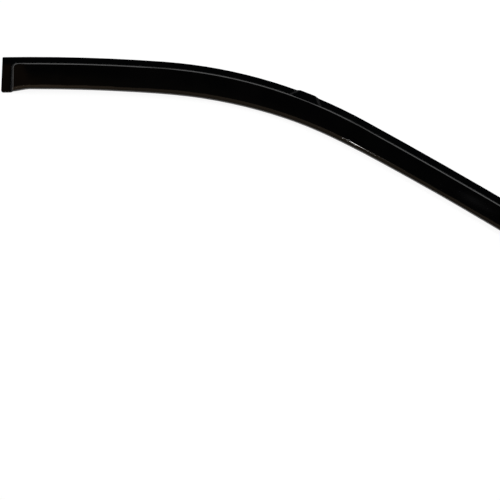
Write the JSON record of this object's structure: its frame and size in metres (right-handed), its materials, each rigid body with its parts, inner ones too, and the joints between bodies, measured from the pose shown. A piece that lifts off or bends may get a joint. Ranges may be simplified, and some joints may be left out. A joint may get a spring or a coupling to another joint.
{
  "type": "window rain deflector",
  "caption": "Curved strip of smoked acrylic with a taped flange, a stepped wall and a shallow hood that keeps rain off a car's open side window.",
  "frame": {"origin": "centre of the bounding box, on the plane of the release liners that faces the door", "axes": "+X to the front of the car, +Y to its roof, +Z away from the door"},
  "size_m": [0.8777, 0.3796, 0.0183],
  "materials": {
    "smoked_acrylic": "gloss",
    "foam_tape": "matte",
    "liner_film": "satin"
  },
  "bodies": {
    "root": {"visor_shield": "smoked_acrylic", "tape_rear_run": "foam_tape", "tape_front_run": "foam_tape", "tape_leg": "foam_tape", "liner_rear_run": "liner_film", "liner_front_run": "liner_film", "liner_leg": "liner_film"}
  },
  "joints": []
}
